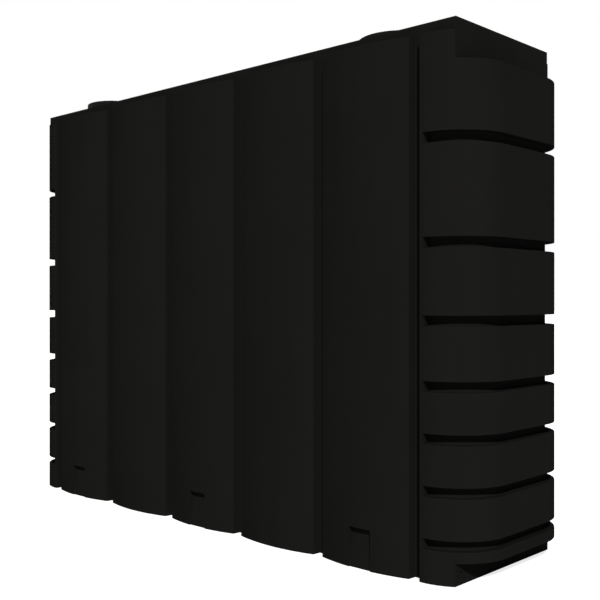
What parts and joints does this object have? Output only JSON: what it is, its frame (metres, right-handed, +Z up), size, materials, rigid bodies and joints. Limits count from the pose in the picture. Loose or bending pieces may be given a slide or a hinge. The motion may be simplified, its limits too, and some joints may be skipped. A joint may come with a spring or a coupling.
{
  "type": "slimline water tank",
  "caption": "Tall narrow slimline rainwater tank with bowed vertical ribs on its long sides and stacked horizontal bands round both ends, a flat roof and two lidded necks.",
  "frame": {"origin": "centre of the tank's bottom face, where it stands on its slab", "axes": "+X along the length towards the manhole end, -Y out of the front, +Z up"},
  "size_m": [3.024, 0.8536, 2.229],
  "materials": {
    "tank_plastic": "matte",
    "neck_plastic": "matte",
    "lid_plastic": "matte"
  },
  "bodies": {
    "root": {"back_left_post": "tank_plastic", "back_rib_1": "tank_plastic", "back_rib_2": "tank_plastic", "back_rib_3": "tank_plastic", "back_rib_4": "tank_plastic", "back_rib_5": "tank_plastic", "back_right_post": "tank_plastic", "back_webs": "tank_plastic", "floor": "tank_plastic", "front_left_post": "tank_plastic", "front_rib_1": "tank_plastic", "front_rib_2": "tank_plastic", "front_rib_3": "tank_plastic", "front_rib_4": "tank_plastic", "front_rib_5": "tank_plastic", "front_right_post": "tank_plastic", "front_webs": "tank_plastic", "inlet_cap": "lid_plastic", "inlet_collar": "neck_plastic", "left_band_1": "tank_plastic", "left_band_2": "tank_plastic", "left_band_3": "tank_plastic", "left_band_4": "tank_plastic", "left_band_5": "tank_plastic", "left_band_6": "tank_plastic", "left_band_7": "tank_plastic", "left_band_8": "tank_plastic", "left_channels": "tank_plastic", "left_foot": "tank_plastic", "left_head": "tank_plastic", "manhole_collar": "neck_plastic", "manhole_lid": "lid_plastic", "right_band_1": "tank_plastic", "right_band_2": "tank_plastic", "right_band_3": "tank_plastic", "right_band_4": "tank_plastic", "right_band_5": "tank_plastic", "right_band_6": "tank_plastic", "right_band_7": "tank_plastic", "right_band_8": "tank_plastic", "right_channels": "tank_plastic", "right_foot": "tank_plastic", "right_head": "tank_plastic", "roof": "tank_plastic"}
  },
  "joints": []
}
